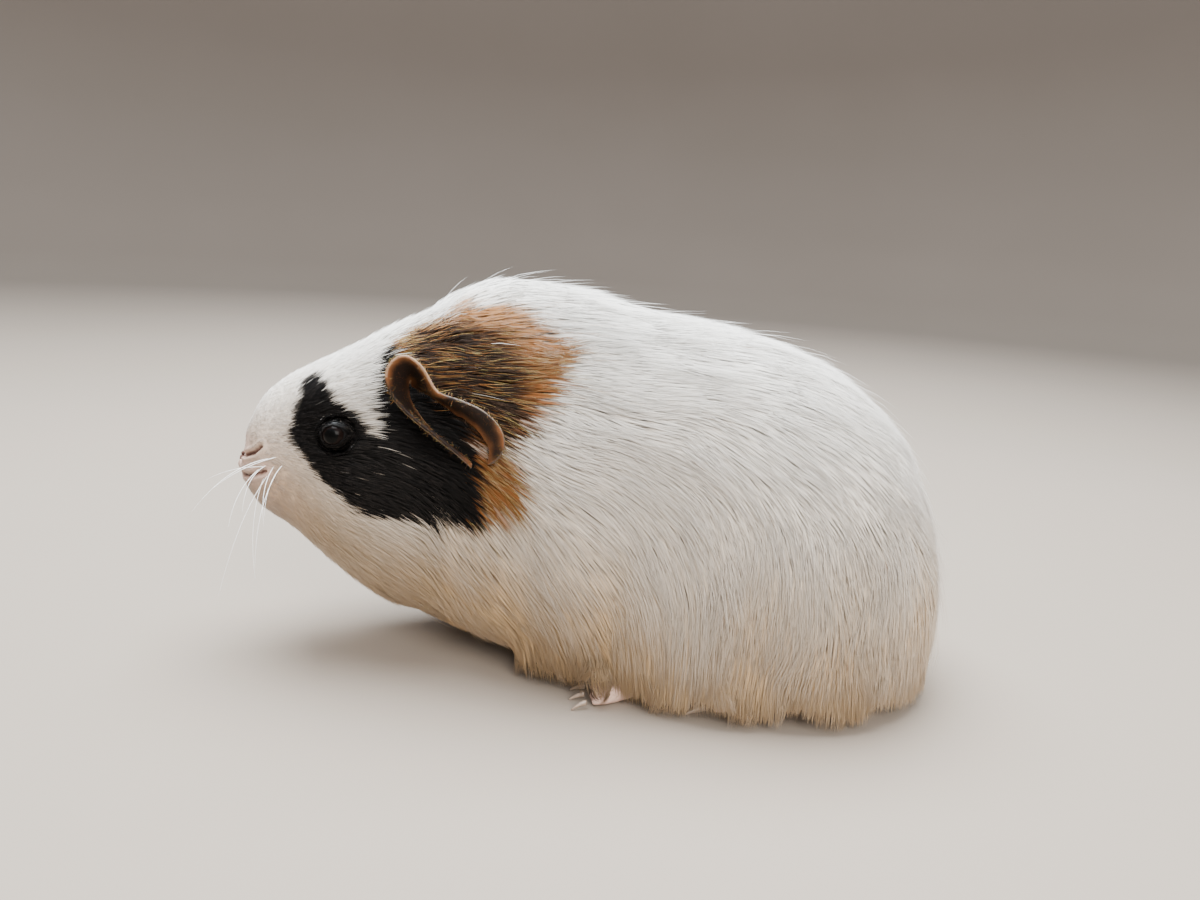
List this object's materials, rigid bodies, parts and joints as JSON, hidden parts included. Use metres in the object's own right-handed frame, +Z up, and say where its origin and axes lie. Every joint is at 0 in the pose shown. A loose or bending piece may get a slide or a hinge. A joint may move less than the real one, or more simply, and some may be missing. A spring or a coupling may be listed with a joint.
{
  "type": "guinea pig",
  "caption": "Life-size still model of a crouching guinea pig with a silky medium-length coat, white with a black patch round the eye and orange-brown patches round the ears.",
  "frame": {"origin": "centre of the model's outline in plan, on the floor under the soles", "axes": "-X is the way that the animal faces, +Y is its right side, +Z is up"},
  "size_m": [0.2218, 0.1052, 0.1194],
  "materials": {
    "coat": "silky hair, white to cream, with black and orange-brown patches on the head",
    "skin": "bare pink skin with fine down",
    "ear": "thin dark skin with fine orange-brown down, glowing orange where light comes through",
    "eye": "wet, glossy, near black",
    "claw": "pale translucent horn"
  },
  "bodies": {
    "root": {"head": "coat", "neck": "coat", "chest": "coat", "belly": "coat", "rump": "coat", "nose": "skin", "ear_left": "ear", "eye_left": "eye", "foreleg_left": "skin", "hindleg_left": "skin", "ear_right": "ear", "eye_right": "eye", "foreleg_right": "skin", "hindleg_right": "skin", "claw_fore_left_1": "claw", "claw_fore_left_2": "claw", "claw_fore_left_3": "claw", "claw_fore_left_4": "claw", "claw_hind_left_1": "claw", "claw_hind_left_2": "claw", "claw_hind_left_3": "claw", "claw_fore_right_1": "claw", "claw_fore_right_2": "claw", "claw_fore_right_3": "claw", "claw_fore_right_4": "claw", "claw_hind_right_1": "claw", "claw_hind_right_2": "claw", "claw_hind_right_3": "claw"}
  },
  "joints": []
}
